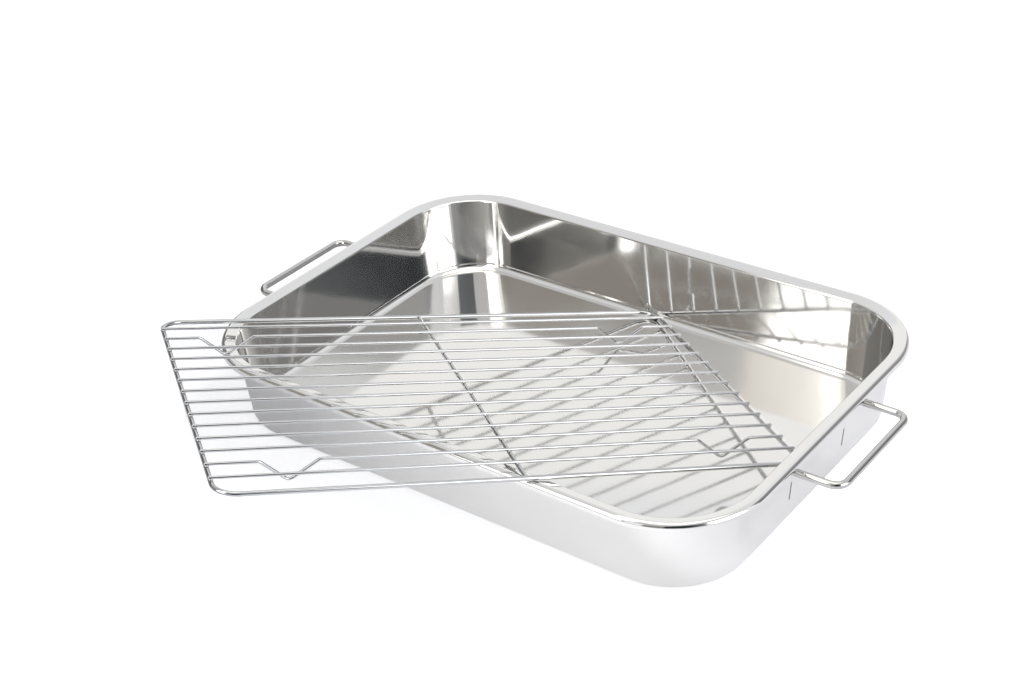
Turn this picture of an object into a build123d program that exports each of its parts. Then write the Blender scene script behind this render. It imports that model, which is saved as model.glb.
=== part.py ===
from build123d import *
import math
import os

# Roasting pan with a wire rack. Millimetres, +Z up, the origin under the middle of the pan.
# +X runs along the long side towards the right-hand handle, +Y from the front long side to the back.

# Pan: one drawn sheet with a sloping rim band and a rolled edge
pan_length = 400.0
pan_width = 286.0
pan_height = 57.0
pan_corner_radius = 62.0
sheet_thickness = 0.8
floor_bend_radius = 5.0
wall_foot_inset = 15.0
rim_edge_inset = 10.0
rim_edge_drop = 2.0
rim_edge_radius = 1.6
rim_roll_radius = 3.0
rim_roll_depth = 5.0
rim_tuck = 1.6
rim_tuck_radius = 1.0

# Upright pressed lines on the outside of each end wall
press_line_spacing = 65.0
press_line_height = 12.7
press_line_width = 1.0
press_line_depth = 0.3
press_line_foot = 17.4
press_line_end_share = 0.49

# Handles: bent round rod, butt-welded to the end walls under the rim
handle_rod = 4.8
handle_spread = 85.0
handle_reach = 24.5
handle_bend_radius = 8.0
handle_drop = 11.2
handle_right_middle = 1.0
handle_left_middle = -5.0
weld_bead_width = 1.3
weld_bead_reach = 1.5
weld_root = 1.0

# Rack: a closed frame of thicker wire, one cross bar, long wires laid over both
frame_length = 348.0
frame_width = 238.0
frame_wire = 3.0
frame_corner_radius = 13.0
long_wire = 2.0
long_wire_count = 14
cross_bar_wire = 2.5
weld_sink = 0.25
tip_chamfer = 0.3

# Feet: a V bent into two of the long wires near each end; the front left one sits further in
foot_from_end = 38.0
front_left_foot_from_end = 46.0
foot_half_width = 17.0
foot_drop = 12.5
foot_bend_radius = 4.0
back_foot_number = 2
front_foot_number = 13

# The rack leans out of the pan as photographed
lean_heading = 53.9
lean_corner_x = -9.4
lean_clearance = 0.3
lean_pitch_start = 0.2
lean_roll_start = -0.1
tilt_step = 1e-5
tilt_rounds = 15

# Sizes worked out from the above
half_length = pan_length / 2
half_width = pan_width / 2
run_x = half_length - pan_corner_radius
run_y = half_width - pan_corner_radius
rim_edge_z = pan_height - rim_edge_drop
frame_radius = frame_wire / 2
long_radius = long_wire / 2
bar_radius = cross_bar_wire / 2
frame_half_x = frame_length / 2
frame_half_y = frame_width / 2
wire_pitch = frame_width / (long_wire_count + 1)
wire_level = frame_radius + long_radius - weld_sink
bar_level = wire_level - long_radius - bar_radius + weld_sink
tip_x = frame_half_x + frame_radius
foot_x = frame_half_x - foot_from_end
front_left_foot_x = front_left_foot_from_end - frame_half_x
foot_slope = math.atan2(foot_drop, foot_half_width)
foot_low = foot_drop - foot_bend_radius * (1 / math.cos(foot_slope) - 1)


def rim_band_end():
    """Height at which the rim band's line meets the outermost upright of the rim."""
    across = rim_edge_inset - rim_roll_radius
    rise = rim_edge_drop - rim_roll_radius
    slope = math.atan2(rise, across) + math.asin(rim_roll_radius / math.hypot(across, rise))
    return rim_edge_z + rim_edge_inset * math.tan(slope)


def pan_section():
    """Section of the sheet, outwards from a corner's own axis (X) and up (Y)."""
    reach = pan_corner_radius
    upper = [
        (0, sheet_thickness),
        (reach - wall_foot_inset, sheet_thickness),
        (reach - rim_edge_inset, rim_edge_z),
        (reach, rim_band_end()),
        (reach, pan_height - rim_roll_depth),
        (reach - rim_tuck, pan_height - rim_roll_depth - rim_tuck / 2),
    ]
    radii = [floor_bend_radius, rim_edge_radius, rim_roll_radius, rim_tuck_radius]
    skin = FilletPolyline(*upper, radius=radii)
    loop = offset(skin, amount=sheet_thickness, side=Side.RIGHT, closed=True)
    return make_face(loop)


def wall_lean():
    """Angle in degrees by which the walls lean outwards."""
    return math.degrees(math.atan2(wall_foot_inset - rim_edge_inset, rim_edge_z - sheet_thickness))


def wall_outer_x(height):
    """Outer face of an end wall at a height between the floor bend and the rim."""
    share = (height - sheet_thickness) / (rim_edge_z - sheet_thickness)
    inset = wall_foot_inset + (rim_edge_inset - wall_foot_inset) * share
    return half_length - inset + sheet_thickness / math.cos(math.radians(wall_lean()))


def make_press_line(y):
    """Cutter for one pressed line on the right end wall, leaning as the wall does."""
    middle = press_line_foot + press_line_height / 2
    line = Box(press_line_depth * 2, press_line_width, press_line_height)
    line = fillet(line.edges().filter_by(Axis.X), press_line_width * press_line_end_share)
    return Pos(wall_outer_x(middle), y, middle) * Rot(Y=wall_lean()) * line


def make_pan():
    """The pan shell: four straight runs, four turned corners and the floor."""
    section = pan_section()
    upright = Plane(origin=(run_x, run_y, 0), x_dir=(1, 0, 0), z_dir=(0, -1, 0)) * section
    corner = revolve(upright, Axis((run_x, run_y, 0), (0, 0, 1)), 90)
    end_run = extrude(upright, run_y, dir=(0, -1, 0))
    across = Plane(origin=(run_x, run_y, 0), x_dir=(0, 1, 0), z_dir=(1, 0, 0)) * section
    side_run = extrude(across, run_x, dir=(-1, 0, 0))
    floor = Pos(run_x / 2, run_y / 2, sheet_thickness / 2) * Box(run_x, run_y, sheet_thickness)
    quarter = corner + end_run + side_run + floor
    half = quarter + mirror(quarter, Plane.XZ)
    pan = half + mirror(half, Plane.YZ)
    for side in (1, -1):
        for y in (press_line_spacing / 2, -press_line_spacing / 2):
            mark = make_press_line(y)
            pan -= mark if side > 0 else mirror(mark, Plane.YZ)
    return pan


def rod_along(path, diameter):
    """A round rod along a path."""
    start = Plane(origin=path @ 0, z_dir=path % 0)
    return sweep(start * Circle(diameter / 2), path=path)


def make_handle(middle):
    """Right-hand handle: a U of rod with a weld bead where each arm ends on the sloping wall."""
    level = pan_height - handle_drop
    root = wall_outer_x(level) - weld_root
    outer = half_length + handle_reach
    front = middle - handle_spread / 2
    back = middle + handle_spread / 2
    path = FilletPolyline(
        (root, front, level),
        (outer, front, level),
        (outer, back, level),
        (root, back, level),
        radius=handle_bend_radius,
    )
    handle = rod_along(path, handle_rod)
    rod_radius = handle_rod / 2
    bead_length = weld_bead_reach + weld_root
    bead_radius = rod_radius + weld_bead_width * bead_length / weld_bead_reach
    for y in (front, back):
        bead = Cone(bead_radius, rod_radius, bead_length)
        handle += Pos(root + bead_length / 2, y, level) * Rot(Y=90) * bead
    wall_side = (Align.MAX, Align.CENTER, Align.CENTER)
    behind_wall = Box(handle_reach, 2 * handle_spread, 2 * handle_reach, align=wall_side)
    return handle - Pos(wall_outer_x(level), middle, level) * Rot(Y=wall_lean()) * behind_wall


def make_frame():
    """Closed frame of wire: four straight runs and four turned corners."""
    run_along = frame_half_x - frame_corner_radius
    run_across = frame_half_y - frame_corner_radius
    disc = Pos(0, frame_half_y, 0) * Rot(Y=90) * Circle(frame_radius)
    side_run = extrude(disc, run_along, dir=(1, 0, 0))
    disc = Pos(frame_half_x, 0, 0) * Rot(X=90) * Circle(frame_radius)
    end_run = extrude(disc, run_across, dir=(0, 1, 0))
    disc = Pos(frame_half_x, run_across, 0) * Rot(X=90) * Circle(frame_radius)
    corner = revolve(disc, Axis((run_along, run_across, 0), (0, 0, 1)), 90)
    quarter = side_run + end_run + corner
    half = quarter + mirror(quarter, Plane.XZ)
    return half + mirror(half, Plane.YZ)


def make_cross_bar(frame):
    """Bar across the middle, butted to the inside of the frame, under the long wires."""
    bar = Pos(0, 0, bar_level) * Rot(X=90) * Cylinder(bar_radius, frame_width - frame_radius)
    return bar - frame


def make_long_wire(number, seats):
    """One long wire, sunk a little into the frame ends and the cross bar where it is welded."""
    y = frame_half_y - number * wire_pitch
    if number in (back_foot_number, front_foot_number):
        left_foot_x = -foot_x if number == back_foot_number else front_left_foot_x
        points = [(-tip_x, y, wire_level)]
        for x in (left_foot_x, foot_x):
            points.append((x - foot_half_width, y, wire_level))
            points.append((x, y, wire_level - foot_drop))
            points.append((x + foot_half_width, y, wire_level))
        points.append((tip_x, y, wire_level))
        wire = rod_along(FilletPolyline(*points, radius=foot_bend_radius), long_wire)
    else:
        wire = Pos(0, y, wire_level) * Rot(Y=90) * Cylinder(long_radius, 2 * tip_x)
    tips = wire.faces().filter_by(Plane.YZ).edges()
    wire = chamfer(tips, tip_chamfer)
    for seat in seats:
        wire -= seat
    return wire


def rack_axes(pitch, roll):
    """Unit vectors of the rack's length, width and top for a heading, a nose-down and a side tilt."""
    heading = math.radians(lean_heading)
    ahead = Vector(math.cos(heading), math.sin(heading), 0)
    along = ahead * math.cos(pitch) - Vector(0, 0, math.sin(pitch))
    level = Vector(-math.sin(heading), math.cos(heading), 0)
    across = level * math.cos(roll) + along.cross(level) * math.sin(roll)
    return along, across, along.cross(across)


def rack_origin(along, across):
    """Place of the rack's middle when its far corner lies in the pan's back floor bend."""
    turn = math.atan2(across.Y, along.Y)
    corner_x = frame_half_x - frame_corner_radius + frame_corner_radius * math.cos(turn)
    corner_y = frame_half_y - frame_corner_radius + frame_corner_radius * math.sin(turn)
    gap = (floor_bend_radius - frame_radius - lean_clearance) * math.cos(math.pi / 4)
    bend_y = half_width - wall_foot_inset - floor_bend_radius
    bend_z = sheet_thickness + floor_bend_radius
    corner = Vector(lean_corner_x, bend_y + gap, bend_z - gap)
    return corner - along * corner_x - across * corner_y


def rest_gaps(pitch, roll):
    """Room left under the front frame wire at the front rim, and under the left back foot at the rim."""
    along, across, top = rack_axes(pitch, roll)
    origin = rack_origin(along, across)
    crest = Vector(0, rim_roll_radius - half_width, pan_height - rim_roll_radius)
    normal = Vector(1, 0, 0).cross(along).normalized()
    front_wire = origin - across * frame_half_y
    at_rim = (front_wire - crest).dot(normal) - rim_roll_radius - frame_radius - lean_clearance
    foot_y = frame_half_y - back_foot_number * wire_pitch
    foot = origin - along * foot_x + across * foot_y + top * (wire_level - foot_low)
    at_foot = foot.Z - pan_height - long_radius - lean_clearance
    return at_rim, at_foot


def rack_place():
    """Leaning place of the rack: the tilts at which it just rests on the front rim and on its foot."""
    pitch = lean_pitch_start
    roll = lean_roll_start
    for _ in range(tilt_rounds):
        rim, foot = rest_gaps(pitch, roll)
        pitched = rest_gaps(pitch + tilt_step, roll)
        rolled = rest_gaps(pitch, roll + tilt_step)
        rim_p, foot_p = (pitched[0] - rim) / tilt_step, (pitched[1] - foot) / tilt_step
        rim_r, foot_r = (rolled[0] - rim) / tilt_step, (rolled[1] - foot) / tilt_step
        spread = rim_p * foot_r - rim_r * foot_p
        pitch -= (rim * foot_r - foot * rim_r) / spread
        roll -= (foot * rim_p - rim * foot_p) / spread
    along, across, top = rack_axes(pitch, roll)
    return Plane(origin=rack_origin(along, across), x_dir=along, z_dir=top).location


def save(shape, name):
    """Writes one sub-part."""
    shape.label = name
    export_step(shape, f"parts/{name}.step")


os.makedirs("parts", exist_ok=True)

save(make_pan(), "pan_shell")
save(make_handle(handle_right_middle), "handle_right")
save(mirror(make_handle(handle_left_middle), Plane.YZ), "handle_left")

place = rack_place()
rack_frame = make_frame()
save(place * rack_frame, "rack_frame")
rack_cross_bar = make_cross_bar(rack_frame)
save(place * rack_cross_bar, "rack_cross_bar")
for number in range(1, long_wire_count + 1):
    wire = make_long_wire(number, (rack_frame, rack_cross_bar))
    kind = "rack_foot_wire" if number in (back_foot_number, front_foot_number) else "rack_wire"
    save(place * wire, f"{kind}_{number:02d}")
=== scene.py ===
"""Looks of a stainless roasting pan with a leaning wire rack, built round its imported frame."""

import logging
import math
from dataclasses import dataclass
from enum import Enum

import bpy
from mathutils import Matrix, Vector

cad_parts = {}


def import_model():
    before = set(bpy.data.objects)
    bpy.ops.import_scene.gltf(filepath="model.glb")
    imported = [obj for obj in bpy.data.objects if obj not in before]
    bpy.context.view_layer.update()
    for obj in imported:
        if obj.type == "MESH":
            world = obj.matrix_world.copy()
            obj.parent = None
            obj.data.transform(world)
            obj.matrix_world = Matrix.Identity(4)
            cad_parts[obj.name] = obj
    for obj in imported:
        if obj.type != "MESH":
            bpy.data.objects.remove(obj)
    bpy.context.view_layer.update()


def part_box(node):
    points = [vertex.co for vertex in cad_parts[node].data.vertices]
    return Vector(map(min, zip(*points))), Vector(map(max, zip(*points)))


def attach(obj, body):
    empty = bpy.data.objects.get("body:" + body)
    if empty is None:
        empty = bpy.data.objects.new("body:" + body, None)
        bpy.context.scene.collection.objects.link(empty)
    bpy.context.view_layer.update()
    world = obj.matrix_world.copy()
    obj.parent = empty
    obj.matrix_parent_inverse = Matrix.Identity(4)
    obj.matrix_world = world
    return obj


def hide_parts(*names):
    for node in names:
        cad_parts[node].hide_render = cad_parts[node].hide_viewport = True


log = logging.getLogger("roasting_pan")

MM = 0.001

# A noise texture's values lie mostly between these two.
NOISE_LOW = 0.3
NOISE_HIGH = 0.7

WHITE = "#FFFFFF"

# Corners of a square, anticlockwise.
SQUARE = ((-1, -1), (1, -1), (1, 1), (-1, 1))


class Slot(Enum):
    """Material slots of the record."""

    PAN = "pan_steel"
    HANDLE = "handle_steel"
    RACK = "rack_steel"


class Body(Enum):
    """Bodies that the pieces ride on."""

    PAN = "root"
    RACK = "rack"


class Side(Enum):
    """Ends of the pan, with their direction along X."""

    RIGHT = 1
    LEFT = -1


class Fade(Enum):
    """Directions in which the colour of a studio panel changes."""

    LEFT_TO_RIGHT = "X"
    FRONT_TO_BACK = "Y"


Colour = tuple[float, float, float, float]
Face = tuple[int, ...]


def srgb(code: str) -> Colour:
    """Turns an sRGB hex colour into linear values.

    Args:
        code: Colour as "#rrggbb".

    Returns:
        Linear red, green and blue, and an alpha of 1.
    """
    channels = [int(code[i:i + 2], 16) / 255 for i in (1, 3, 5)]
    linear = [c / 12.92 if c <= 0.04045 else ((c + 0.055) / 1.055) ** 2.4 for c in channels]
    return (linear[0], linear[1], linear[2], 1.0)


def add_node(tree: bpy.types.NodeTree, kind: str, values: dict, links: dict) -> bpy.types.Node:
    """Adds a shader node with its settings and links.

    Args:
        tree: Node tree that gets the node.
        kind: Blender's name of the node type.
        values: Settings of the node, or default values of its inputs, by name or index.
        links: Output sockets that feed the node's inputs, by name or index.

    Returns:
        The new node.
    """
    node = tree.nodes.new(kind)
    for key, value in values.items():
        if isinstance(key, str) and hasattr(node, key):
            setattr(node, key, value)
        else:
            node.inputs[key].default_value = value
    for key, socket in links.items():
        tree.links.new(socket, node.inputs[key])
    return node


def rounded_line(
    corners: list[Vector], radii: list[float], steps: int, margin: float, closed: bool = False
) -> list[Vector]:
    """Draws a line through corner points with a round bend at each.

    Args:
        corners: Corner points; the ends too, unless the line is closed.
        radii: Bend radius of each corner, the ends of an open line left out.
        steps: Number of straight pieces in each bend.
        margin: Length of a short flat piece beside each bend, which keeps the long flats flat in shading.
        closed: Whether the last corner joins the first.

    Returns:
        The points of the line in order.
    """
    count = len(corners)
    line = [] if closed else [corners[0]]
    turning = range(count) if closed else range(1, count - 1)
    for index, radius in zip(turning, radii):
        corner = corners[index]
        back = (corners[index - 1] - corner).normalized()
        ahead = (corners[(index + 1) % count] - corner).normalized()
        half = back.angle(ahead) / 2
        start = corner + back * (radius / math.tan(half))
        end = corner + ahead * (radius / math.tan(half))
        centre = corner + (back + ahead).normalized() * (radius / math.sin(half))
        line.append(start + back * margin)
        for step in range(steps + 1):
            turn = (math.pi - 2 * half) * step / steps
            line.append(centre + (start - centre) * math.cos(turn) - back * (radius * math.sin(turn)))
        line.append(end + ahead * margin)
    if not closed:
        line.append(corners[-1])
    return line


def grid_faces(rows: int, columns: int, wrap_rows: bool, wrap_columns: bool) -> list[Face]:
    """Lists the quads of a grid of vertices that are stored row by row.

    Args:
        rows: Number of rows.
        columns: Number of vertices in a row.
        wrap_rows: Whether the last row joins the first.
        wrap_columns: Whether each row is a ring.

    Returns:
        Vertex numbers of each quad.
    """
    faces = []
    for row in range(rows if wrap_rows else rows - 1):
        below = row * columns
        above = (row + 1) % rows * columns
        for column in range(columns if wrap_columns else columns - 1):
            beside = (column + 1) % columns
            faces.append((below + column, below + beside, above + beside, above + column))
    return faces


def rectangle(half_x: float, half_y: float, level: float = 0.0) -> list[Vector]:
    """Returns the corners of a level rectangle over the pan's middle."""
    return [Vector((x * half_x, y * half_y, level)) for x, y in SQUARE]


def make_piece(
    name: str, vertices: list[Vector], faces: list[Face], material: bpy.types.Material
) -> bpy.types.Object:
    """Makes a smooth-shaded mesh object.

    Args:
        name: Name of the piece.
        vertices: Its points in metres.
        faces: Vertex numbers of each face.
        material: Its finish.

    Returns:
        The new object, linked to the scene.
    """
    mesh = bpy.data.meshes.new(name)
    mesh.from_pydata(vertices, [], faces)
    mesh.materials.append(material)
    for polygon in mesh.polygons:
        polygon.use_smooth = True
    mesh.update()
    piece = bpy.data.objects.new(name, mesh)
    bpy.context.scene.collection.objects.link(piece)
    return piece


def seat_piece(piece: bpy.types.Object, body: Body, slot: Slot, *nodes: str) -> None:
    """Lets a piece ride on its body and stand for its CAD nodes.

    Args:
        piece: The piece.
        body: Body that it moves with.
        slot: Slot that its finish belongs to; not used.
        nodes: CAD nodes that it replaces.
    """
    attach(piece, body.value)
    if nodes:
        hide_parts(*nodes)
    log.info("%s: %d faces on %s", piece.name, len(piece.data.polygons), body.value)


@dataclass(frozen=True)
class Tube:
    """Round wire along a path."""

    radius: float
    sides: int

    # Rings of a cut end: how far in each lies and how wide it is, in shares of the radius.
    tip_shares: tuple[tuple[float, float], ...] = ((0.0, 0.55), (0.1, 0.82), (0.3, 0.96), (0.6, 1.0))

    def rings(self, path: list[Vector], closed: bool, radii: list[float]) -> list[Vector]:
        """Places the rings of points round a path.

        Args:
            path: Points of the wire's middle line.
            closed: Whether the path is a ring.
            radii: Radius at each point of the path.

        Returns:
            Points, ring by ring.
        """
        count = len(path)
        points = []
        side = None
        for index, (middle, radius) in enumerate(zip(path, radii)):
            before = path[index - 1] if index or closed else path[0]
            after = path[(index + 1) % count] if index + 1 < count or closed else path[-1]
            ahead = (after - before).normalized()
            if side is None:
                side = ahead.orthogonal()
            side = (side - ahead * side.dot(ahead)).normalized()
            lift = ahead.cross(side)
            for step in range(self.sides):
                turn = 2 * math.pi * step / self.sides
                points.append(middle + (side * math.cos(turn) + lift * math.sin(turn)) * radius)
        return points

    def capped_faces(self, rows: int) -> list[Face]:
        """Lists the faces of a line of rings that is closed at both ends.

        Args:
            rows: Number of rings.

        Returns:
            Vertex numbers of each face.
        """
        last = (rows - 1) * self.sides
        caps = [tuple(reversed(range(self.sides))), tuple(range(last, last + self.sides))]
        return grid_faces(rows, self.sides, False, True) + caps

    def closed_mesh(self, path: list[Vector]) -> tuple[list[Vector], list[Face]]:
        """Makes a ring of wire.

        Args:
            path: Points of the middle line, which joins itself.

        Returns:
            Points and faces.
        """
        points = self.rings(path, True, [self.radius] * len(path))
        return points, grid_faces(len(path), self.sides, True, True)

    def open_mesh(self, path: list[Vector]) -> tuple[list[Vector], list[Face]]:
        """Makes a length of wire whose cut ends are a little rounded.

        Args:
            path: Points of the middle line, from end to end.

        Returns:
            Points and faces.
        """
        first = (path[1] - path[0]).normalized() * self.radius
        last = (path[-2] - path[-1]).normalized() * self.radius
        head = [path[0] + first * share for share, _ in self.tip_shares]
        tail = [path[-1] + last * share for share, _ in reversed(self.tip_shares)]
        tips = [self.radius * share for _, share in self.tip_shares]
        full = head + path[1:-1] + tail
        radii = tips + [self.radius] * (len(path) - 2) + tips[::-1]
        return self.rings(full, False, radii), self.capped_faces(len(full))


@dataclass(frozen=True)
class SheetSteel:
    """Stainless sheet: walls and rim buffed to a mirror, the floor left satin as rolled.

    Buffing gives the eye sharp pictures of the room, and the rolled floor blurs them a little.
    """

    name: str = "stainless_sheet_buffed_walls_satin_floor"
    colour: str = "#EDECEA"
    wall_roughness: float = 0.075
    floor_roughness: float = 0.09

    # Satin turns to mirror between these two heights, in the floor's bend.
    floor_height: float = 0.9 * MM
    wall_height: float = 7 * MM

    # Slow waves of the thin sheet, which bend the pictures in the walls.
    wave_spacing: float = 55 * MM
    wave_depth: float = 0.2 * MM
    wave_detail: float = 1.0
    wave_unevenness: float = 0.4

    # Rolled grain along X. The real one is some 0.1 mm wide, and it is drawn coarser so that it shows.
    grain_spacing: float = 0.9 * MM
    grain_depth: float = 0.001 * MM
    grain_detail: float = 2.0
    grain_stretch: float = 24.0

    # Hand buffing leaves soft clouds in the gloss.
    cloud_spacing: float = 28 * MM
    cloud_detail: float = 3.0
    cloud_swing: float = 0.12

    # Old polish and dirt stay in the pressed lines, and painted shade darkens their hollows, so they read as
    # dark strokes.
    line_dirt_and_shade_colour: str = "#343536"
    line_soft: float = 0.15 * MM

    def pressed_lines(
        self, tree: bpy.types.NodeTree, axes: bpy.types.Node, pan: "PanShell"
    ) -> bpy.types.NodeSocket:
        """Marks the pressed lines of the end walls' outer faces, with a soft border just outside them.

        Args:
            tree: Node tree that gets the nodes.
            axes: Node that gives the place's X, Y and Z.
            pan: The shell with the lines' sizes.

        Returns:
            Socket that is 1 in a line and 0 away from it.
        """
        soft = self.line_soft
        skew = (pan.foot_inset - pan.edge_inset) / (pan.edge_z - pan.sheet)
        reach = add_node(tree, "ShaderNodeMath", {"operation": "ABSOLUTE"}, {0: axes.outputs["X"]})
        upright = add_node(
            tree,
            "ShaderNodeMath",
            {"operation": "MULTIPLY_ADD", 1: -skew},
            {0: axes.outputs["Z"], 2: reach.outputs[0]},
        )
        skin = pan.half_length - pan.foot_inset + pan.sheet / 2
        outside = add_node(
            tree,
            "ShaderNodeMapRange",
            {"From Min": skin - soft, "From Max": skin},
            {"Value": upright.outputs[0]},
        )
        side = add_node(tree, "ShaderNodeMath", {"operation": "ABSOLUTE"}, {0: axes.outputs["Y"]})
        found = outside.outputs["Result"]
        half_height = pan.line_height / 2
        bands = (
            (side.outputs[0], pan.line_spacing / 2, pan.line_width / 2),
            (axes.outputs["Z"], pan.line_foot + half_height, half_height),
        )
        for value, middle, half in bands:
            off = add_node(tree, "ShaderNodeMath", {"operation": "SUBTRACT", 1: middle}, {0: value})
            far = add_node(tree, "ShaderNodeMath", {"operation": "ABSOLUTE"}, {0: off.outputs[0]})
            inside = add_node(
                tree,
                "ShaderNodeMapRange",
                {"From Min": half, "From Max": half + 2 * soft, "To Min": 1.0, "To Max": 0.0},
                {"Value": far.outputs[0]},
            )
            both = add_node(
                tree, "ShaderNodeMath", {"operation": "MULTIPLY"}, {0: found, 1: inside.outputs["Result"]}
            )
            found = both.outputs[0]
        return found

    def build(self, pan: "PanShell") -> bpy.types.Material:
        """Builds the material: mirror and satin by height, slow waves of the sheet and rolled grain.

        Args:
            pan: The shell that it is for.

        Returns:
            The material.
        """
        material = bpy.data.materials.new(self.name)
        material.use_nodes = True
        tree = material.node_tree
        shader = tree.nodes["Principled BSDF"]
        shader.inputs["Metallic"].default_value = 1.0
        place = add_node(tree, "ShaderNodeTexCoord", {}, {})
        height = add_node(tree, "ShaderNodeSeparateXYZ", {}, {0: place.outputs["Object"]})
        # The pressed lines are painted dark: dirt, and painted shade in their hollows.
        tone = add_node(
            tree,
            "ShaderNodeMix",
            {"data_type": "RGBA", 6: srgb(self.colour), 7: srgb(self.line_dirt_and_shade_colour)},
            {0: self.pressed_lines(tree, height, pan)},
        )
        tree.links.new(tone.outputs[2], shader.inputs["Base Color"])
        satin = add_node(
            tree,
            "ShaderNodeMapRange",
            {
                "From Min": self.floor_height,
                "From Max": self.wall_height,
                "To Min": self.floor_roughness,
                "To Max": self.wall_roughness,
            },
            {"Value": height.outputs["Z"]},
        )
        cloud = add_node(
            tree,
            "ShaderNodeTexNoise",
            {"Scale": 1 / self.cloud_spacing, "Detail": self.cloud_detail},
            {"Vector": place.outputs["Object"]},
        )
        cloudy = add_node(
            tree,
            "ShaderNodeMapRange",
            {
                "From Min": NOISE_LOW,
                "From Max": NOISE_HIGH,
                "To Min": 1 - self.cloud_swing,
                "To Max": 1 + self.cloud_swing,
            },
            {"Value": cloud.outputs["Fac"]},
        )
        rough = add_node(
            tree,
            "ShaderNodeMath",
            {"operation": "MULTIPLY"},
            {0: satin.outputs["Result"], 1: cloudy.outputs["Result"]},
        )
        tree.links.new(rough.outputs[0], shader.inputs["Roughness"])
        waves = add_node(
            tree,
            "ShaderNodeTexNoise",
            {"Scale": 1 / self.wave_spacing, "Detail": self.wave_detail, "Roughness": self.wave_unevenness},
            {"Vector": place.outputs["Object"]},
        )
        drawn = add_node(
            tree,
            "ShaderNodeMapping",
            {"Scale": (1 / self.grain_stretch, 1, 1)},
            {"Vector": place.outputs["Object"]},
        )
        grain = add_node(
            tree,
            "ShaderNodeTexNoise",
            {"Scale": 1 / self.grain_spacing, "Detail": self.grain_detail},
            {"Vector": drawn.outputs["Vector"]},
        )
        wavy = add_node(
            tree, "ShaderNodeBump", {"Distance": self.wave_depth}, {"Height": waves.outputs["Fac"]}
        )
        grained = add_node(
            tree,
            "ShaderNodeBump",
            {"Distance": self.grain_depth},
            {"Height": grain.outputs["Fac"], "Normal": wavy.outputs["Normal"]},
        )
        tree.links.new(grained.outputs["Normal"], shader.inputs["Normal"])
        return material


@dataclass(frozen=True)
class BrightWire:
    """Bright drawn wire or rod: a hard gloss with faint marks of the drawing die.

    It gives the eye long white glints with dark edges.
    """

    name: str
    colour: str
    roughness: float

    # Marks of the die, which break the glints up. They are drawn coarser than real ones, so that they show.
    mark_spacing: float = 1.2 * MM
    mark_depth: float = 0.006 * MM
    mark_detail: float = 2.0
    mark_swing: float = 0.2

    # Painted shade darkens a rod near its roots, where it meets the wall.
    root_shade_colour: str = ""
    weld_place: float = 188 * MM
    weld_reach: float = 5 * MM

    def build(self) -> bpy.types.Material:
        """Builds the material: a gloss with faint clouds and bumps, and painted shade at the welds.

        Returns:
            The material.
        """
        material = bpy.data.materials.new(self.name)
        material.use_nodes = True
        tree = material.node_tree
        shader = tree.nodes["Principled BSDF"]
        shader.inputs["Base Color"].default_value = srgb(self.colour)
        shader.inputs["Metallic"].default_value = 1.0
        place = add_node(tree, "ShaderNodeTexCoord", {}, {})
        # Painted shade: the rod's colour darkens towards its roots at the wall.
        if self.root_shade_colour:
            axes = add_node(tree, "ShaderNodeSeparateXYZ", {}, {0: place.outputs["Object"]})
            reach = add_node(tree, "ShaderNodeMath", {"operation": "ABSOLUTE"}, {0: axes.outputs["X"]})
            root_shade_fade = add_node(
                tree,
                "ShaderNodeMapRange",
                {"From Min": self.weld_place, "From Max": self.weld_place + self.weld_reach},
                {"Value": reach.outputs[0]},
            )
            tone = add_node(
                tree,
                "ShaderNodeMix",
                {"data_type": "RGBA", 6: srgb(self.root_shade_colour), 7: srgb(self.colour)},
                {0: root_shade_fade.outputs["Result"]},
            )
            tree.links.new(tone.outputs[2], shader.inputs["Base Color"])
        marks = add_node(
            tree,
            "ShaderNodeTexNoise",
            {"Scale": 1 / self.mark_spacing, "Detail": self.mark_detail},
            {"Vector": place.outputs["Object"]},
        )
        rough = add_node(
            tree,
            "ShaderNodeMapRange",
            {
                "From Min": NOISE_LOW,
                "From Max": NOISE_HIGH,
                "To Min": (1 - self.mark_swing) * self.roughness,
                "To Max": (1 + self.mark_swing) * self.roughness,
            },
            {"Value": marks.outputs["Fac"]},
        )
        tree.links.new(rough.outputs["Result"], shader.inputs["Roughness"])
        bumps = add_node(
            tree, "ShaderNodeBump", {"Distance": self.mark_depth}, {"Height": marks.outputs["Fac"]}
        )
        tree.links.new(bumps.outputs["Normal"], shader.inputs["Normal"])
        return material


# Drawn stainless rod of the handles: a grey hard gloss, with painted shade darkest at the welds.
ROD_STEEL = BrightWire("stainless_rod_bright_drawn", "#CDCCCA", 0.08, root_shade_colour="#55504C")

# Plated wire of the rack: a cooler, smoother gloss that stays bright against the floor.
RACK_STEEL = BrightWire("bright_plated_wire", "#C2C3C4", 0.07, 0.9 * MM, 0.001 * MM)


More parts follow.
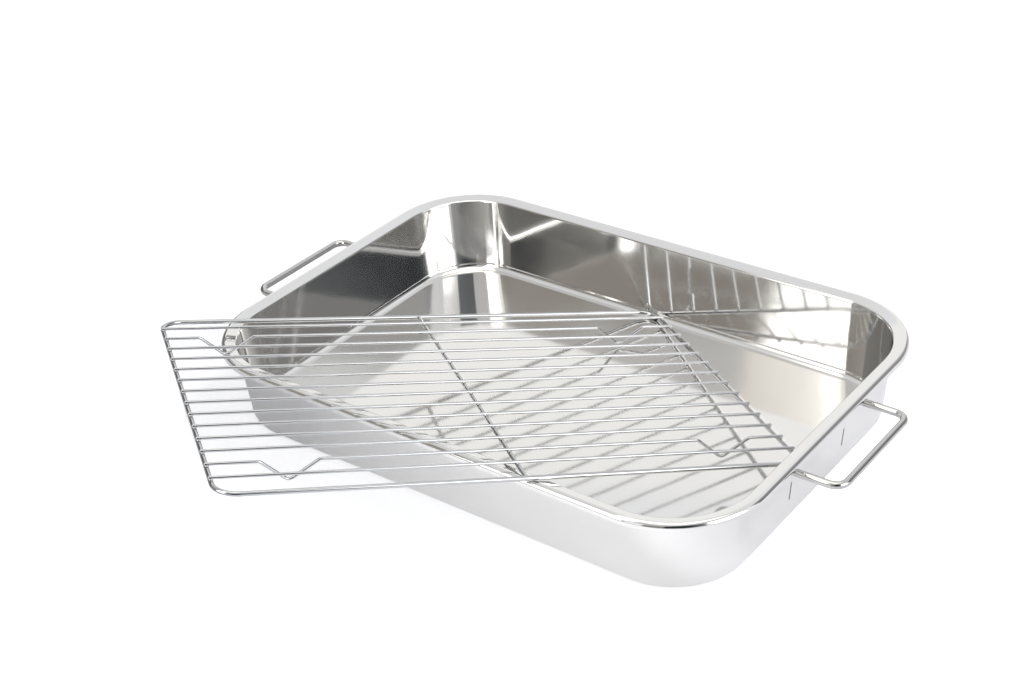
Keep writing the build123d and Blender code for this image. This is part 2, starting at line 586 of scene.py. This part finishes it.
@dataclass
class PanShell:
    """The drawn tray: floor, sloping walls, rim band and rolled edge, in one sheet."""

    finish: SheetSteel
    corner_radius: float = 62 * MM
    sheet: float = 0.8 * MM
    floor_bend: float = 5 * MM
    foot_inset: float = 15 * MM
    edge_inset: float = 10 * MM
    edge_drop: float = 2 * MM
    edge_radius: float = 1.6 * MM
    roll_radius: float = 3 * MM
    roll_depth: float = 5 * MM
    tuck: float = 1.6 * MM
    tuck_radius: float = 1.0 * MM
    margin: float = 0.25 * MM
    bend_steps: int = 10
    corner_steps: int = 36
    station_gap: float = 8 * MM
    floor_ring_shares: tuple[float, ...] = (0.96, 0.8, 0.5, 0.2)

    # Two short upright lines, pressed into the outer face of each end wall.
    line_spacing: float = 65 * MM
    line_foot: float = 17.4 * MM
    line_height: float = 12.7 * MM
    line_width: float = 1.0 * MM
    line_depth: float = 0.3 * MM
    line_squareness: int = 4
    line_station_shares: tuple[float, ...] = (-1.3, -1, -0.6, 0, 0.6, 1, 1.3)
    line_clear_share: float = 0.25
    end_facing: float = 0.999

    def __post_init__(self) -> None:
        """Takes the overall size from the frame."""
        _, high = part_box("pan_shell")
        self.half_length = high.x
        self.half_width = high.y
        self.height = high.z
        self.edge_z = self.height - self.edge_drop
        self.run_x = self.half_length - self.corner_radius
        self.run_y = self.half_width - self.corner_radius

    def band_end(self) -> float:
        """Finds where the rim band's line meets the outermost upright.

        Returns:
            The height of that corner.
        """
        across = self.edge_inset - self.roll_radius
        rise = self.edge_drop - self.roll_radius
        slope = math.atan2(rise, across) + math.asin(self.roll_radius / math.hypot(across, rise))
        return self.edge_z + self.edge_inset * math.tan(slope)

    def section(self) -> list[Vector]:
        """Draws the section of the sheet, outwards (X) and up (Z) from a corner's axis.

        Returns:
            Points of the upper and inner skin, then of the lower and outer skin on the way back.
        """
        reach = self.corner_radius
        floor_edge = reach - self.foot_inset - 2 * self.floor_bend
        corners = [
            Vector((floor_edge, 0, self.sheet)),
            Vector((reach - self.foot_inset, 0, self.sheet)),
            Vector((reach - self.edge_inset, 0, self.edge_z)),
            Vector((reach, 0, self.band_end())),
            Vector((reach, 0, self.height - self.roll_depth)),
            Vector((reach - self.tuck, 0, self.height - self.roll_depth - self.tuck / 2)),
        ]
        radii = [self.floor_bend, self.edge_radius, self.roll_radius, self.tuck_radius]
        skin = rounded_line(corners, radii, self.bend_steps, self.margin)
        outer = []
        for index, point in enumerate(skin):
            before = skin[max(index - 1, 0)]
            after = skin[min(index + 1, len(skin) - 1)]
            ahead = (after - before).normalized()
            outer.append(point + Vector((ahead.z, 0, -ahead.x)) * self.sheet)
        return skin + outer[::-1]

    def stations(self) -> list[tuple[Vector, Vector]]:
        """Places the sections round the plan, anticlockwise from the right end.

        Returns:
            Base point and outward direction of each.
        """
        half_mark = self.line_width / 2
        marks = []
        for middle in (-self.line_spacing / 2, self.line_spacing / 2):
            marks += [middle + share * half_mark for share in self.line_station_shares]
        found = []
        for quarter, (x, y) in enumerate(((1, 1), (-1, 1), (-1, -1), (1, -1))):
            for step in range(self.corner_steps + 1):
                turn = math.pi / 2 * (quarter + step / self.corner_steps)
                outward = Vector((math.cos(turn), math.sin(turn), 0))
                found.append((Vector((x * self.run_x, y * self.run_y, 0)), outward))
            at_end = quarter % 2 == 1
            run = self.run_y if at_end else self.run_x
            pieces = round(2 * run / self.station_gap)
            places = [run * (1 - 2 * step / pieces) for step in range(1, pieces)]
            if at_end:
                clear = self.station_gap * self.line_clear_share
                places = [p for p in places if min(abs(p - m) for m in marks) > clear] + marks
                places.sort(reverse=True)
            base, outward = found[-1]
            for place in places:
                along = Vector((-outward.y, outward.x, 0))
                middle = base - along * base.dot(along)
                found.append((middle - along * place, outward))
        return found

    def press_depth(self, along: float, height: float) -> float:
        """Depth of the pressed line at a point of an end wall's outer face.

        Args:
            along: Distance from the pan's middle along the end wall.
            height: Height above the base.

        Returns:
            How far the face lies inwards.
        """
        off = abs(abs(along) - self.line_spacing / 2) / (self.line_width / 2)
        top = self.line_foot + self.line_height
        if off >= 1 or not self.line_foot <= height <= top:
            return 0.0
        return self.line_depth * (1 - off ** self.line_squareness)

    def build(self) -> bpy.types.Object:
        """Builds the shell: the section round the plan, then both skins of the floor.

        Returns:
            The piece.
        """
        section = self.section()
        half = len(section) // 2
        line_top = self.line_foot + self.line_height
        heights = (self.line_foot - self.margin, self.line_foot, line_top, line_top + self.margin)
        wall = [Vector((0, 0, height)) for height in heights]
        lower = next(
            i for i in range(half, len(section) - 1) if section[i + 1].z < self.line_foot < section[i].z
        )
        top, bottom = section[lower], section[lower + 1]
        for level in wall:
            share = (level.z - bottom.z) / (top.z - bottom.z)
            level.x = bottom.x + (top.x - bottom.x) * share
        section = section[:lower + 1] + wall[::-1] + section[lower + 1:]
        stations = self.stations()
        points = []
        for base, outward in stations:
            along = base.y if abs(outward.x) > self.end_facing else self.half_length
            for index, place in enumerate(section):
                reach = place.x
                if index >= half:
                    reach -= self.press_depth(along, place.z)
                points.append(base + outward * reach + Vector((0, 0, place.z)))
        columns = len(section)
        faces = grid_faces(len(stations), columns, True, False)
        for column, below in ((0, False), (columns - 1, True)):
            ring = [row * columns + column for row in range(len(stations))]
            self.add_floor(points, faces, ring, below)
        return make_piece("pan_shell_sheet", points, faces, self.finish.build(self))

    def add_floor(self, points: list[Vector], faces: list[Face], ring: list[int], below: bool) -> None:
        """Closes the floor's upper or lower skin with rings that shrink to the middle.

        Args:
            points: Points so far, which get the new ones.
            faces: Faces so far, which get the new ones.
            ring: Numbers of the points on the floor's edge.
            below: Whether this is the lower skin.
        """
        rows = len(ring)
        level = Vector((0, 0, points[ring[0]].z))
        edge = [points[i] - level for i in ring]
        for share in self.floor_ring_shares:
            inner = list(range(len(points), len(points) + rows))
            points += [level + offset * share for offset in edge]
            for row in range(rows):
                ahead = (row + 1) % rows
                face = (ring[row], inner[row], inner[ahead], ring[ahead])
                faces.append(face if below else face[::-1])
            ring = inner
        points.append(level)
        middle = len(points) - 1
        for row in range(rows):
            face = (ring[row], middle, ring[(row + 1) % rows])
            faces.append(face if below else face[::-1])


@dataclass
class RodHandle:
    """A U of rod, welded by its two ends to an end wall under the rim."""

    side: Side
    finish: bpy.types.Material
    pan: PanShell
    rod: float = 4.8 * MM
    spread: float = 85 * MM
    bend_radius: float = 8 * MM
    bead_width: float = 1.3 * MM
    bead_reach: float = 1.5 * MM
    root_depth: float = 0.3 * MM
    margin: float = 0.3 * MM
    sides: int = 32
    bend_steps: int = 20
    flare_shares: tuple[float, ...] = (0, 0.12, 0.3, 0.5, 0.7, 0.85, 1, 1.25)

    def wall_x(self, height: float) -> float:
        """Outer face of the end wall.

        Args:
            height: Height above the base.

        Returns:
            Distance from the pan's middle.
        """
        pan = self.pan
        share = (height - pan.sheet) / (pan.edge_z - pan.sheet)
        inset = pan.foot_inset + (pan.edge_inset - pan.foot_inset) * share
        lean = math.atan2(pan.foot_inset - pan.edge_inset, pan.edge_z - pan.sheet)
        return pan.half_length - inset + pan.sheet / math.cos(lean)

    def build(self) -> None:
        """Builds the handle with its two weld beads."""
        node = f"handle_{self.side.name.lower()}"
        low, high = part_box(node)
        sign = self.side.value
        outer = max(abs(low.x), abs(high.x)) - self.rod / 2
        middle = (low.y + high.y) / 2
        level = (low.z + high.z) / 2
        root = self.wall_x(level) - self.root_depth
        front, back = middle - self.spread / 2, middle + self.spread / 2
        corners = [
            Vector((root, front, level)),
            Vector((outer, front, level)),
            Vector((outer, back, level)),
            Vector((root, back, level)),
        ]
        line = rounded_line(corners, [self.bend_radius] * 2, self.bend_steps, self.margin)
        flare = [self.root_depth + self.bead_reach * share for share in self.flare_shares]
        ahead = Vector((1, 0, 0))
        path = [corners[0] + ahead * reach for reach in [0] + flare]
        path += line[1:-1]
        path += [corners[-1] + ahead * reach for reach in flare[::-1] + [0]]
        radii = [self.bead_radius(point.x - root) for point in path]
        tube = Tube(self.rod / 2, self.sides)
        points = tube.rings(path, False, radii)
        for point in points:
            near = max(0.0, 1 - (point.x - root) / (2 * self.bead_reach))
            point.x += (self.wall_x(point.z) - self.wall_x(level)) * near
            point.x *= sign
        faces = tube.capped_faces(len(path))
        if sign < 0:
            faces = [face[::-1] for face in faces]
        piece = make_piece(f"{node}_rod", points, faces, self.finish)
        seat_piece(piece, Body.PAN, Slot.HANDLE, node)

    def bead_radius(self, reach: float) -> float:
        """Radius of rod and weld bead.

        Args:
            reach: Distance from the rod's root.

        Returns:
            The radius there.
        """
        share = min(1.0, max(0.0, (reach - self.root_depth) / self.bead_reach))
        return self.rod / 2 + self.bead_width * (1 - math.sqrt(1 - (1 - share) ** 2) if share else 1.0)


@dataclass
class WireRack:
    """The rack: a frame of thicker wire, one cross bar, long wires over both and four V feet."""

    finish: bpy.types.Material
    frame_wire: float = 3.0 * MM
    frame_corner: float = 13 * MM
    long_wire: float = 2.0 * MM
    cross_bar_wire: float = 2.5 * MM
    bar_end_inset: float = 0.75 * MM
    wire_count: int = 14
    weld_sink: float = 0.25 * MM
    foot_from_end: float = 38 * MM
    front_left_foot_from_end: float = 46 * MM
    foot_half_width: float = 17 * MM
    foot_drop: float = 12.5 * MM
    foot_bend: float = 4 * MM
    foot_wires: tuple[int, int] = (2, 13)
    nugget_length: float = 1.5 * MM
    nugget_width: float = 1.25 * MM
    nugget_height: float = 0.75 * MM
    nugget_rings: int = 6
    nugget_sides: int = 10
    frame_sides: int = 24
    bar_sides: int = 20
    wire_sides: int = 16
    frame_steps: int = 14
    foot_steps: int = 8
    frame_margin: float = 0.5 * MM
    foot_margin: float = 0.3 * MM
    end_share: float = 0.98
    straight_shares: tuple[float, ...] = (0, 0.25, 0.5, 0.75, 1)

    def __post_init__(self) -> None:
        """Reads the rack's place, its directions and its overall size from the frame."""
        along = self.long_axis("rack_wire_07")
        if along.x < 0:
            along = -along
        across = self.long_axis("rack_cross_bar")
        across = (across - along * across.dot(along)).normalized()
        if across.y < 0:
            across = -across
        top = along.cross(across)
        self.turn = Matrix((along, across, top)).transposed()
        ring = [self.turn.transposed() @ v.co for v in bpy.data.objects["rack_frame"].data.vertices]
        low = Vector([min(p[i] for p in ring) for i in range(3)])
        high = Vector([max(p[i] for p in ring) for i in range(3)])
        self.middle = self.turn @ ((low + high) / 2)
        self.half_x = (high.x - low.x - self.frame_wire) / 2
        self.half_y = (high.y - low.y - self.frame_wire) / 2
        self.pitch = 2 * self.half_y / (self.wire_count + 1)
        self.wire_level = self.frame_wire / 2 + self.long_wire / 2 - self.weld_sink
        self.bar_level = self.wire_level - self.long_wire / 2 - self.cross_bar_wire / 2 + self.weld_sink

    def long_axis(self, node: str) -> Vector:
        """Finds the direction of a straight wire.

        Args:
            node: Name of the wire's CAD node.

        Returns:
            Unit vector between the middles of its two ends.
        """
        corners = [v.co for v in bpy.data.objects[node].data.vertices]
        centre = sum(corners, Vector()) / len(corners)
        far = max(corners, key=lambda p: (p - centre).length)
        axis = (far - centre).normalized()
        reach = max((p - centre).dot(axis) for p in corners)
        ends = []
        for sign in (1, -1):
            tip = [p for p in corners if (p - centre).dot(axis) * sign > self.end_share * reach]
            ends.append(sum(tip, Vector()) / len(tip))
        return (ends[0] - ends[1]).normalized()

    def place(self, points: list[Vector]) -> list[Vector]:
        """Carries points from the flat rack to its leaning place."""
        return [self.middle + self.turn @ point for point in points]

    def wire_y(self, number: int) -> float:
        """Returns a long wire's distance from the rack's middle line."""
        return self.half_y - number * self.pitch

    def build_frame(self) -> None:
        """Builds the closed frame."""
        x, y = self.half_x, self.half_y
        corners = [Vector((x, -y, 0)), Vector((x, y, 0)), Vector((-x, y, 0)), Vector((-x, -y, 0))]
        radii = [self.frame_corner] * len(corners)
        path = rounded_line(corners, radii, self.frame_steps, self.frame_margin, closed=True)
        mesh = Tube(self.frame_wire / 2, self.frame_sides).closed_mesh(self.place(path))
        self.seat("rack_frame_wire", mesh, "rack_frame")

    def build_bar(self) -> None:
        """Builds the cross bar, which butts into the frame's long sides."""
        reach = self.half_y - self.bar_end_inset
        ends = [Vector((0, -reach, self.bar_level)), Vector((0, reach, self.bar_level))]
        path = [ends[0].lerp(ends[1], share) for share in self.straight_shares]
        mesh = Tube(self.cross_bar_wire / 2, self.bar_sides).open_mesh(self.place(path))
        self.seat("rack_bar_wire", mesh, "rack_cross_bar")

    def wire_path(self, number: int) -> list[Vector]:
        """Middle line of a long wire.

        Args:
            number: The wire's number, from the back.

        Returns:
            Points from its left tip to its right tip.
        """
        y = self.wire_y(number)
        level = self.wire_level
        tip = self.half_x + self.frame_wire / 2
        corners = [Vector((-tip, y, level))]
        if number in self.foot_wires:
            right = self.half_x - self.foot_from_end
            left = -right if number == self.foot_wires[0] else self.front_left_foot_from_end - self.half_x
            for foot in (left, right):
                corners.append(Vector((foot - self.foot_half_width, y, level)))
                corners.append(Vector((foot, y, level - self.foot_drop)))
                corners.append(Vector((foot + self.foot_half_width, y, level)))
        corners.append(Vector((tip, y, level)))
        if len(corners) == 2:
            return [corners[0].lerp(corners[1], share) for share in self.straight_shares]
        radii = [self.foot_bend] * (len(corners) - 2)
        return rounded_line(corners, radii, self.foot_steps, self.foot_margin)

    def build_wires(self) -> None:
        """Builds the long wires, feet included."""
        for number in range(1, self.wire_count + 1):
            kind = "rack_foot_wire" if number in self.foot_wires else "rack_wire"
            node = f"{kind}_{number:02d}"
            path = self.place(self.wire_path(number))
            self.seat(f"{node}_rod", Tube(self.long_wire / 2, self.wire_sides).open_mesh(path), node)

    def nugget(self, centre: Vector) -> tuple[list[Vector], list[Face]]:
        """Makes the small lens of metal that a spot weld squeezes out.

        Args:
            centre: Its middle, on the flat rack.

        Returns:
            Points on the flat rack, and faces.
        """
        rings, sides = self.nugget_rings, self.nugget_sides
        points = []
        for ring in range(1, rings):
            rise = math.pi * ring / rings
            across = math.sin(rise) * self.nugget_width
            along = math.sin(rise) * self.nugget_length
            up = math.cos(rise) * self.nugget_height
            for step in range(sides):
                turn = 2 * math.pi * step / sides
                points.append(centre + Vector((math.cos(turn) * across, math.sin(turn) * along, up)))
        top, bottom = len(points), len(points) + 1
        points += [centre + Vector((0, 0, side * self.nugget_height)) for side in (1, -1)]
        faces = [face[::-1] for face in grid_faces(rings - 1, sides, False, True)]
        last = (rings - 2) * sides
        for step in range(sides):
            beside = (step + 1) % sides
            faces.append((step, beside, top))
            faces.append((last + beside, last + step, bottom))
        return points, faces

    def build_nuggets(self) -> None:
        """Builds the spot-weld nuggets between the long wires and what they lie on."""
        points: list[Vector] = []
        faces: list[Face] = []
        seat = self.wire_level - self.long_wire / 2 + self.weld_sink / 2
        for number in range(1, self.wire_count + 1):
            for x in (-self.half_x, 0, self.half_x):
                ball, skin = self.nugget(Vector((x, self.wire_y(number), seat)))
                start = len(points)
                points += self.place(ball)
                faces += [tuple(start + i for i in face) for face in skin]
        self.seat("rack_spot_welds", (points, faces))

    def seat(self, name: str, mesh: tuple[list[Vector], list[Face]], *nodes: str) -> None:
        """Makes a piece of the rack and lets it ride on the rack's body.

        Args:
            name: Name of the piece.
            mesh: Its points and faces.
            nodes: CAD nodes that it replaces.
        """
        seat_piece(make_piece(name, *mesh, self.finish), Body.RACK, Slot.RACK, *nodes)

    def build(self) -> None:
        """Builds the whole rack."""
        self.build_frame()
        self.build_bar()
        self.build_wires()
        self.build_nuggets()


def glow_panel(
    name: str, points: list[Vector], first: str, last: str, fade: Fade, strength: float
) -> bpy.types.Object:
    """Makes a panel of the studio, which only shows in reflections.

    Args:
        name: Name of the panel.
        points: Its four corners.
        first: Its colour at the left or front.
        last: Its colour at the right or back.
        fade: Direction in which the colour changes.
        strength: Its brightness, where 1 is white.

    Returns:
        The panel.
    """
    material = bpy.data.materials.new(name)
    material.use_nodes = True
    tree = material.node_tree
    tree.nodes.clear()
    place = add_node(tree, "ShaderNodeTexCoord", {}, {})
    axes = add_node(tree, "ShaderNodeSeparateXYZ", {}, {0: place.outputs["Generated"]})
    shade = add_node(
        tree,
        "ShaderNodeMix",
        {"data_type": "RGBA", 6: srgb(first), 7: srgb(last)},
        {0: axes.outputs[fade.value]},
    )
    glow = add_node(tree, "ShaderNodeEmission", {"Strength": strength}, {"Color": shade.outputs[2]})
    add_node(tree, "ShaderNodeOutputMaterial", {}, {"Surface": glow.outputs[0]})
    panel = make_piece(name, points, [(0, 1, 2, 3)], material)
    panel.visible_camera = False
    panel.visible_diffuse = False
    panel.visible_shadow = False
    return panel


@dataclass(frozen=True)
class OverheadPanel:
    """A level panel over the pan, which only shows in reflections. Its half side and level are in metres."""

    name: str
    front_colour: str
    back_colour: str
    strength: float
    half: float
    level: float

    def build(self) -> None:
        """Builds the panel, which fades from its front to its back colour."""
        points = rectangle(self.half, self.half, self.level)
        colours = (self.front_colour, self.back_colour)
        glow_panel(self.name, points, *colours, Fade.FRONT_TO_BACK, self.strength)


@dataclass(frozen=True)
class StudioPanel:
    """An upright wall or flag of the studio, which only shows in reflections.

    Its azimuth and the angle across it are in degrees; its distance, low and high edge are in metres.
    """

    name: str
    azimuth: float
    distance: float
    across: float
    low: float
    high: float
    left_colour: str
    right_colour: str
    strength: float = 1.0
    right_lean: float = 0.0

    def place(self) -> Matrix:
        """Turns the panel to the pan's middle, where azimuth 0 is on +X and 90 is on +Y.

        Returns:
            The panel's matrix.
        """
        turn = math.radians(self.azimuth)
        away = Vector((math.cos(turn), math.sin(turn), 0))
        side = Vector((math.sin(turn), -math.cos(turn), 0))
        matrix = Matrix((side, Vector((0, 0, 1)), -away)).transposed().to_4x4()
        matrix.translation = away * self.distance + Vector((0, 0, (self.low + self.high) / 2))
        return matrix

    def half_sizes(self) -> tuple[float, float]:
        """Returns half the width, from the angle that it fills, and half the height."""
        return self.distance * math.tan(math.radians(self.across / 2)), (self.high - self.low) / 2

    def build(self) -> None:
        """Builds the panel, which fades from its left to its right colour as the pan sees it."""
        half_across, half_rise = self.half_sizes()
        points = rectangle(half_across, half_rise)
        points[2].x += self.right_lean
        colours = (self.left_colour, self.right_colour)
        panel = glow_panel(self.name, points, *colours, Fade.LEFT_TO_RIGHT, self.strength)
        panel.matrix_world = self.place()


@dataclass(frozen=True)
class SoftBox(StudioPanel):
    """A soft lamp in the place of a panel."""

    radiance: float = 2.0
    lights_floor: bool = True

    def build(self) -> None:
        """Builds the lamp."""
        half_across, half_rise = self.half_sizes()
        data = bpy.data.lights.new(self.name, "AREA")
        data.shape = "RECTANGLE"
        data.size = 2 * half_across
        data.size_y = 2 * half_rise
        data.color = srgb(self.left_colour)[:3]
        data.energy = self.radiance * math.pi * data.size * data.size_y
        lamp = bpy.data.objects.new(self.name, data)
        lamp.matrix_world = self.place() @ Matrix.Rotation(math.pi, 4, "Y")
        lamp.visible_camera = False
        lamp.visible_diffuse = self.lights_floor
        bpy.context.scene.collection.objects.link(lamp)


@dataclass(frozen=True)
class KeyLight:
    """The lamp that casts the soft shadow; it is kept out of the reflections."""

    name: str = "key_light"
    azimuth: float = 42.0
    elevation: float = 58.0
    distance: float = 1.5
    size: float = 0.6
    floor_light: float = 0.3

    def build(self) -> None:
        """Builds the lamp, aimed at the pan."""
        turn, rise = math.radians(self.azimuth), math.radians(self.elevation)
        away = Vector((math.cos(turn) * math.cos(rise), math.sin(turn) * math.cos(rise), math.sin(rise)))
        data = bpy.data.lights.new(self.name, "AREA")
        data.size = self.size
        data.energy = self.floor_light * (math.pi * self.distance) ** 2 / math.sin(rise)
        lamp = bpy.data.objects.new(self.name, data)
        lamp.location = away * self.distance
        lamp.rotation_euler = away.to_track_quat("Z", "Y").to_euler()
        lamp.visible_camera = False
        lamp.visible_glossy = False
        bpy.context.scene.collection.objects.link(lamp)


@dataclass(frozen=True)
class Studio:
    """A white studio: seamless floor, key light, soft boxes, grey walls and dark flags by the camera."""

    floor_half: float = 4.0
    floor_colour: str = "#ECEDF2"
    floor_glow: float = 0.55
    floor_mirror_glow: float = 0.42
    floor_mirror_edge: float = 0.06
    spot_place: tuple[float, float, float] = (0.09, -0.27, 0.0)
    spot_core: float = 0.13
    spot_reach: float = 0.26
    world_light: float = 0.5
    key_light: KeyLight = KeyLight()
    overheads: tuple[OverheadPanel, ...] = (
        OverheadPanel("grey_ceiling", "#C4C3C2", "#F6F8FC", 1.0, 2.4, 1.7),
        OverheadPanel("overhead_light", "#FFFDF8", "#FFFDF8", 1.8, 0.6, 1.65),
    )

    # Azimuth, distance, angle across, low and high edge, left and right colour as the pan sees them, and for
    # one of them its strength and how far its right edge leans.
    panels: tuple[StudioPanel, ...] = (
        StudioPanel("flag_by_the_camera", -51.6, 2.0, 23.2, -0.1, 1.8, "#2E3237", "#303539"),
        StudioPanel("flag_fade", -33, 2.0, 14, -0.1, 1.8, "#84878B", "#2E3237"),
        StudioPanel("flag_over_the_camera", -39, 1.5, 34, 1.15, 1.69, "#6C7074", "#626467"),
        StudioPanel("wall_front", -72.5, 2.1, 21, -0.1, 1.4, "#8F8D89", "#8F8D89"),
        StudioPanel("wall_front_left", -127, 2.0, 54, -0.1, 1.7, "#87827C", "#A6A29C"),
        StudioPanel("wall_left", 178, 2.0, 56, -0.1, 1.3, "#838280", "#74706A"),
        StudioPanel("wall_back_right", 58, 2.0, 60, -0.1, 2.1, "#CFCFCD", "#707173"),
        StudioPanel("shade_back_right", 55, 1.9, 60, 0.6, 0.9, "#8E8E8D", "#808082"),
        StudioPanel("wall_back", 120, 2.2, 66, -0.1, 2.1, "#FCFCFB", "#FCFCFB"),
        StudioPanel("soft_box_wing", -112, 0.66, 10, 0.35, 1.1, "#FFFDFA", "#B5B0A8", 1.5, 0.2),
        SoftBox("soft_box_right", -5, 1.5, 33, 0.15, 1.35, WHITE, WHITE, radiance=2.6),
        SoftBox(
            "soft_box_front_left", -103, 0.626, 23.5, 0.1, 1.1, WHITE, WHITE,
            radiance=2.2, lights_floor=False,
        ),
    )

    def build_floor(self) -> None:
        """Builds the floor, which shows as white and keeps the object's shadow."""
        # Matt paper, which gives the eye an even white with a soft shadow. Its glow only reaches the camera
        # and reflections, where it is a bright pool before the pan's front wall.
        material = bpy.data.materials.new("white_studio_floor")
        material.use_nodes = True
        tree = material.node_tree
        tree.nodes.clear()
        paper = add_node(tree, "ShaderNodeBsdfDiffuse", {"Color": srgb(self.floor_colour)}, {})
        place = add_node(tree, "ShaderNodeTexCoord", {}, {})
        away = add_node(
            tree,
            "ShaderNodeVectorMath",
            {"operation": "DISTANCE", 1: self.spot_place},
            {0: place.outputs["Object"]},
        )
        spot = add_node(
            tree,
            "ShaderNodeMapRange",
            {
                "From Min": self.spot_core,
                "From Max": self.spot_reach,
                "To Min": self.floor_mirror_glow,
                "To Max": self.floor_mirror_edge,
            },
            {"Value": away.outputs["Value"]},
        )
        mirrored = add_node(
            tree,
            "ShaderNodeMath",
            {"operation": "MULTIPLY"},
            {0: spot.outputs["Result"], 1: self.seen_socket(tree)},
        )
        path = add_node(tree, "ShaderNodeLightPath", {}, {})
        direct = add_node(
            tree,
            "ShaderNodeMath",
            {"operation": "MULTIPLY", 1: self.floor_glow},
            {0: path.outputs["Is Camera Ray"]},
        )
        strength = add_node(
            tree, "ShaderNodeMath", {"operation": "MAXIMUM"}, {0: direct.outputs[0], 1: mirrored.outputs[0]}
        )
        glow = add_node(
            tree, "ShaderNodeEmission", {"Color": srgb(WHITE)}, {"Strength": strength.outputs[0]}
        )
        both = add_node(tree, "ShaderNodeAddShader", {}, {0: paper.outputs[0], 1: glow.outputs[0]})
        add_node(tree, "ShaderNodeOutputMaterial", {}, {"Surface": both.outputs[0]})
        points = rectangle(self.floor_half, self.floor_half)
        floor = make_piece("studio_floor", points, [(0, 1, 2, 3)], material)

    def seen_socket(self, tree: bpy.types.NodeTree) -> bpy.types.NodeSocket:
        """Gives 1 to rays from the camera, a reflection or a clear material.

        Args:
            tree: Node tree that gets the nodes.

        Returns:
            The socket with the value.
        """
        path = add_node(tree, "ShaderNodeLightPath", {}, {})
        first = add_node(
            tree,
            "ShaderNodeMath",
            {"operation": "MAXIMUM"},
            {0: path.outputs["Is Camera Ray"], 1: path.outputs["Is Glossy Ray"]},
        )
        both = add_node(
            tree,
            "ShaderNodeMath",
            {"operation": "MAXIMUM"},
            {0: first.outputs[0], 1: path.outputs["Is Transmission Ray"]},
        )
        return both.outputs[0]

    def build_world(self) -> None:
        """Builds white surroundings, a little dimmer as a source of light."""
        world = bpy.data.worlds.new("white_studio")
        bpy.context.scene.world = world
        world.use_nodes = True
        tree = world.node_tree
        tree.nodes.clear()
        seen = self.seen_socket(tree)
        strength = add_node(
            tree, "ShaderNodeMapRange", {"To Min": self.world_light, "To Max": 1.0}, {"Value": seen}
        )
        surround = add_node(
            tree, "ShaderNodeBackground", {"Color": srgb(WHITE)}, {"Strength": strength.outputs[0]}
        )
        add_node(tree, "ShaderNodeOutputWorld", {}, {"Surface": surround.outputs[0]})

    def build(self) -> None:
        """Builds the whole studio."""
        self.build_floor()
        self.build_world()
        for panel in self.overheads:
            panel.build()
        self.key_light.build()
        for panel in self.panels:
            panel.build()
        log.info("studio: %d panels", len(self.overheads + self.panels))


@dataclass(frozen=True)
class PhotoCamera:
    """Camera at the photograph's place and angle."""

    place: tuple[float, float, float] = (560.25 * MM, -738.97 * MM, 610.32 * MM)
    heading: float = 39.008
    downward: float = 31.071
    roll: float = -4.031
    lens: float = 58.857
    sensor: float = 36.0

    def build(self) -> None:
        """Builds the camera and makes it the scene's camera."""
        turn, tilt, roll = (math.radians(a) for a in (self.heading, self.downward, self.roll))
        ahead = Vector((-math.sin(turn) * math.cos(tilt), math.cos(turn) * math.cos(tilt), -math.sin(tilt)))
        level = Vector((math.cos(turn), math.sin(turn), 0))
        raised = level.cross(ahead)
        right = level * math.cos(roll) + raised * math.sin(roll)
        up = right.cross(ahead)
        data = bpy.data.cameras.new("photo_camera")
        data.sensor_width = self.sensor
        data.lens = self.lens
        data.dof.use_dof = False
        camera = bpy.data.objects.new("photo_camera", data)
        matrix = Matrix((right, up, -ahead)).transposed().to_4x4()
        matrix.translation = Vector(self.place)
        camera.matrix_world = matrix
        bpy.context.scene.collection.objects.link(camera)
        bpy.context.scene.camera = camera


def main() -> None:
    """Builds the pieces in order, then the studio and the camera."""
    logging.basicConfig(level=logging.INFO, format="%(name)s %(message)s")
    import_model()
    pan = PanShell(SheetSteel())
    seat_piece(pan.build(), Body.PAN, Slot.PAN, "pan_shell")
    rod_steel = ROD_STEEL.build()
    for side in Side:
        RodHandle(side, rod_steel, pan).build()
    WireRack(RACK_STEEL.build()).build()
    Studio().build()
    PhotoCamera().build()
    bpy.context.scene.view_settings.view_transform = "Standard"


if __name__ == "__main__":
    main()
